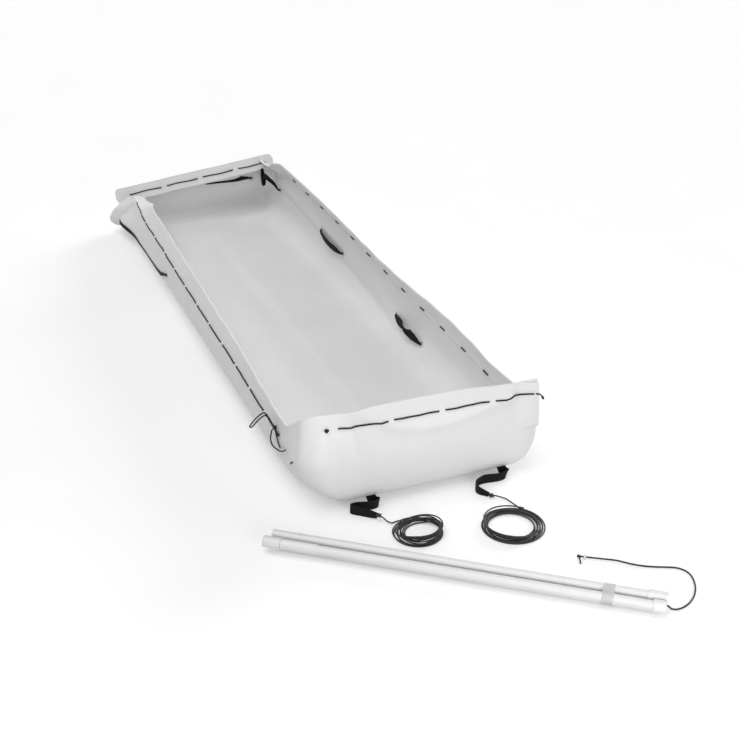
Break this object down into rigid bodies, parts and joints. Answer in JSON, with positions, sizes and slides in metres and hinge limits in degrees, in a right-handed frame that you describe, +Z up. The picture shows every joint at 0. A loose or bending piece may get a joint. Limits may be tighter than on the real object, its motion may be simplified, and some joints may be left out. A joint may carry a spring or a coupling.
{
  "type": "pulk sled",
  "caption": "Folded plastic sheet pulk with laced rims, webbing lash loops, tow straps with coiled lines, and a bundle of pole tubes with shock cord.",
  "frame": {"origin": "centre of the flat underside of the tub's floor, on the ground, at half the tub's length", "axes": "+X across the width, +Y from the nose to the rear wall, +Z up from the ground"},
  "size_m": [0.8556, 2.5236, 0.2702],
  "materials": {
    "sheet": "satin white polyethylene sheet",
    "lace": "braided black cord",
    "webbing": "woven black webbing",
    "grommet_metal": "bright plated metal",
    "tow_line": "braided black line",
    "tube": "satin white plastic pipe",
    "fitting": "glossy white plastic",
    "clear_band": "clear film",
    "shock": "braided black elastic cord"
  },
  "bodies": {
    "sled": {"hull_sheet": "sheet", "front_flap": "sheet", "front_hem": "sheet", "side_hem_left": "sheet", "side_hem_right": "sheet", "rear_band_inner": "sheet", "rear_band_outer": "sheet", "corner_fold_left": "sheet", "corner_fold_right": "sheet", "lacing_front": "lace", "lacing_rear": "lace", "lacing_left": "lace", "lacing_right": "lace", "lacing_bow": "lace", "front_knot": "lace", "right_knot": "lace", "corner_stitch": "lace", "web_right_rear": "webbing", "web_right_mid": "webbing", "web_right_end": "webbing", "web_left": "webbing", "web_left_end": "webbing", "rear_web": "webbing", "corner_tie": "webbing", "tow_strap_left": "webbing", "tow_strap_right": "webbing", "grommets_side": "grommet_metal", "grommets_rear": "grommet_metal", "tow_knot_left": "tow_line", "tow_knot_right": "tow_line", "tow_line_left": "tow_line", "tow_line_right": "tow_line", "tow_coil_left": "tow_line", "tow_coil_right": "tow_line"},
    "rear_lash_loop": {"handle_right_rear": "webbing"},
    "front_lash_loop": {"handle_right_front": "webbing"},
    "pole_bundle": {"pole_tube_front": "tube", "pole_tube_cord": "tube", "pole_coupler_front": "fitting", "pole_sleeve": "fitting", "pole_plug": "fitting", "pole_band": "clear_band", "shock_cord": "shock", "shock_cord_inner": "shock", "cord_knot": "shock"},
    "top_pole": {"pole_tube_top": "tube", "pole_coupler_top": "fitting"},
    "bottom_pole": {"pole_tube_bottom": "tube"},
    "bead": {"cord_bead": "fitting"}
  },
  "joints": [
    {"name": "rear_loop_swing", "type": "hinge", "parent": "sled", "child": "rear_lash_loop", "pos_m": [0.28829, 0.3, 0.08544], "axis": [-0.0205, 0.9974, 0.0695], "range_deg": [-20, 20]},
    {"name": "front_loop_swing", "type": "hinge", "parent": "sled", "child": "front_lash_loop", "pos_m": [0.28751, -0.3, 0.04424], "axis": [0.0171, 0.9975, 0.0683], "range_deg": [-20, 20]},
    {"name": "bundle_lift", "type": "slide", "parent": "sled", "child": "pole_bundle", "axis": [0, 0, 1], "range_m": [0, 0.5]},
    {"name": "top_pole_draw", "type": "slide", "parent": "pole_bundle", "child": "top_pole", "axis": [0.7986, -0.6018, 0], "range_m": [0, 0.3]},
    {"name": "bottom_pole_draw", "type": "slide", "parent": "pole_bundle", "child": "bottom_pole", "axis": [0.7986, -0.6018, 0], "range_m": [0, 0.3]},
    {"name": "bead_slide", "type": "slide", "parent": "pole_bundle", "child": "bead", "axis": [0.8452, -0.5345, 0], "range_m": [0, 0.045]}
  ]
}
